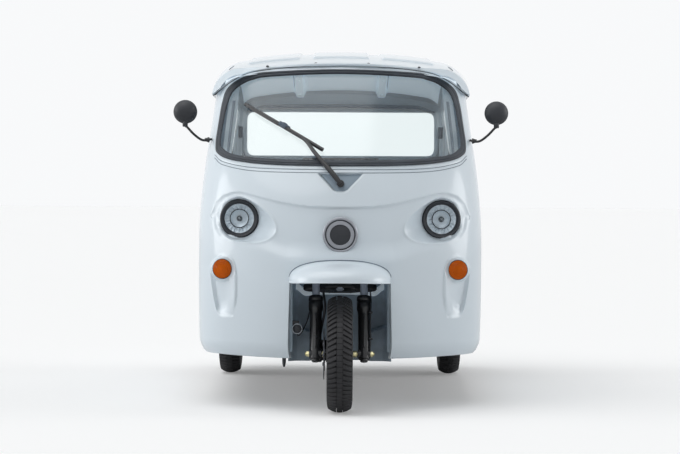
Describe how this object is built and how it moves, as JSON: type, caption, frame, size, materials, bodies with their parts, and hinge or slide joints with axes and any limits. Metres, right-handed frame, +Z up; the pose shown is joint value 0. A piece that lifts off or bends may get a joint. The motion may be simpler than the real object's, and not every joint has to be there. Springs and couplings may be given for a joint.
{
  "type": "three wheeled passenger car",
  "caption": "Three wheeled passenger car with closed nose, open doorways, hard roof, one steered front wheel and two rear wheels that roll.",
  "frame": {"origin": "centre of the bounding box's base, on the ground", "axes": "+Z up, the car's front looks along -Y, X across"},
  "size_m": [1.496, 2.7715, 1.6269],
  "materials": {
    "paint": "gloss",
    "black_plastic": "matte",
    "rubber": "matte",
    "glass": "gloss",
    "amber_plastic": "gloss",
    "red_plastic": "gloss",
    "black_steel": "satin",
    "floor_steel": "matte",
    "zinc_steel": "satin",
    "rim_steel": "satin",
    "tyre": "matte",
    "seat_cover": "satin"
  },
  "bodies": {
    "body": {"front_cowl": "paint", "windshield_frame": "paint", "windshield_seal": "rubber", "windshield_glass": "glass", "roof": "paint", "roof_ribs": "black_plastic", "door_posts": "paint", "quarter_panels": "paint", "rear_panel": "paint", "rear_glass": "glass", "sills": "paint", "floor": "floor_steel", "wheel_well": "black_plastic", "wheel_hood": "paint", "nose_disc": "black_plastic", "lamp_bezels": "paint", "headlamp_housings": "black_plastic", "headlamp_lenses": "glass", "indicators": "amber_plastic", "tail_lamps": "red_plastic", "rear_bumper": "black_plastic", "mirrors": "black_plastic", "wiper": "black_plastic", "chassis": "black_steel", "gooseneck": "black_steel", "battery_box": "black_steel", "motor_block": "black_steel", "rear_axle": "black_steel", "leaf_springs": "black_steel", "dashboard": "black_plastic", "driver_seat_base": "black_steel", "driver_cushion": "seat_cover", "bulkhead": "paint", "driver_backrest": "seat_cover", "rear_bench": "black_steel", "passenger_cushion": "seat_cover", "passenger_backrest": "seat_cover", "horn": "black_plastic"},
    "steering": {"steering_stem": "black_steel", "fork_legs": "black_steel", "front_axle": "zinc_steel", "brake_caliper": "black_steel", "handlebar": "black_steel", "handlebar_grips": "black_plastic"},
    "front_wheel": {"front_tyre": "tyre", "front_rim": "rim_steel", "brake_disc": "zinc_steel"},
    "rear_left_wheel": {"rear_left_tyre": "tyre", "rear_left_rim": "rim_steel"},
    "rear_right_wheel": {"rear_right_tyre": "tyre", "rear_right_rim": "rim_steel"}
  },
  "joints": [
    {"name": "front_steer", "type": "hinge", "parent": "body", "child": "steering", "pos_m": [0, -1.10549, 0.24075], "axis": [0, 0.3584, 0.9336], "range_deg": [-40, 40]},
    {"name": "front_wheel_spin", "type": "hinge", "parent": "steering", "child": "front_wheel", "pos_m": [0, -1.1335, 0.2515], "axis": [1, 0, 0], "continuous": true},
    {"name": "rear_left_spin", "type": "hinge", "parent": "body", "child": "rear_left_wheel", "pos_m": [0.573, 0.9165, 0.2515], "axis": [1, 0, 0], "continuous": true},
    {"name": "rear_right_spin", "type": "hinge", "parent": "body", "child": "rear_right_wheel", "pos_m": [-0.573, 0.9165, 0.2515], "axis": [1, 0, 0], "continuous": true}
  ]
}
